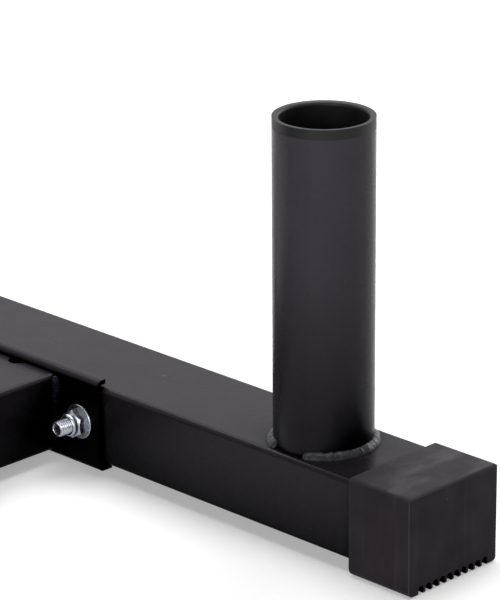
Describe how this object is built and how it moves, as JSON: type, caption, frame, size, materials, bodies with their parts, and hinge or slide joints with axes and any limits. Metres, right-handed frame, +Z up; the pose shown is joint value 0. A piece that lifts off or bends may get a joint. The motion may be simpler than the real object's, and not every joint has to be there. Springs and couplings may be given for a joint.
{
  "type": "weight plate tree",
  "caption": "Floor-standing plate tree: H base on rubber boots, bolted post with plate pegs on both sides, and upright holders for barbells.",
  "frame": {"origin": "on the floor, under the middle of the cross beam, which is the centre of the footprint", "axes": "+X along the cross beam to the right leg, +Y along the legs to the rear, +Z up; the bar holders are at the front, towards -Y"},
  "size_m": [0.6868, 0.661, 1.1394],
  "materials": {
    "paint": "black powder coat, semi-gloss, fine orange peel",
    "weld": "rippled weld bead under black powder coat",
    "rubber": "matte moulded rubber",
    "zinc": "bright zinc plating",
    "nylon": "satin",
    "liner_plastic": "satin moulded plastic",
    "cap_plastic": "fine-grained moulded plastic"
  },
  "bodies": {
    "root": {"right_leg": "paint", "left_leg": "paint", "cross_beam": "paint", "right_saddle": "paint", "left_saddle": "paint", "right_bar_holder": "paint", "left_bar_holder": "paint", "post_saddle": "paint", "post": "paint", "right_gusset": "paint", "left_gusset": "paint", "low_right_peg": "paint", "low_right_disc": "paint", "low_left_peg": "paint", "low_left_disc": "paint", "middle_right_peg": "paint", "middle_right_disc": "paint", "middle_left_peg": "paint", "middle_left_disc": "paint", "high_right_peg": "paint", "high_right_disc": "paint", "high_left_peg": "paint", "high_left_disc": "paint", "holder_welds": "weld", "beam_welds": "weld", "post_welds": "weld", "peg_welds": "weld", "disc_welds": "weld", "front_right_boot": "rubber", "front_left_boot": "rubber", "rear_right_boot": "rubber", "rear_left_boot": "rubber", "leg_bolts": "zinc", "leg_washers": "zinc", "leg_nuts": "zinc", "post_bolts": "zinc", "post_washers": "zinc", "post_nuts": "zinc", "nut_inserts": "nylon", "right_holder_liner": "liner_plastic", "left_holder_liner": "liner_plastic", "post_cap": "cap_plastic", "low_right_cap": "cap_plastic", "low_left_cap": "cap_plastic", "middle_right_cap": "cap_plastic", "middle_left_cap": "cap_plastic", "high_right_cap": "cap_plastic", "high_left_cap": "cap_plastic"}
  },
  "joints": []
}
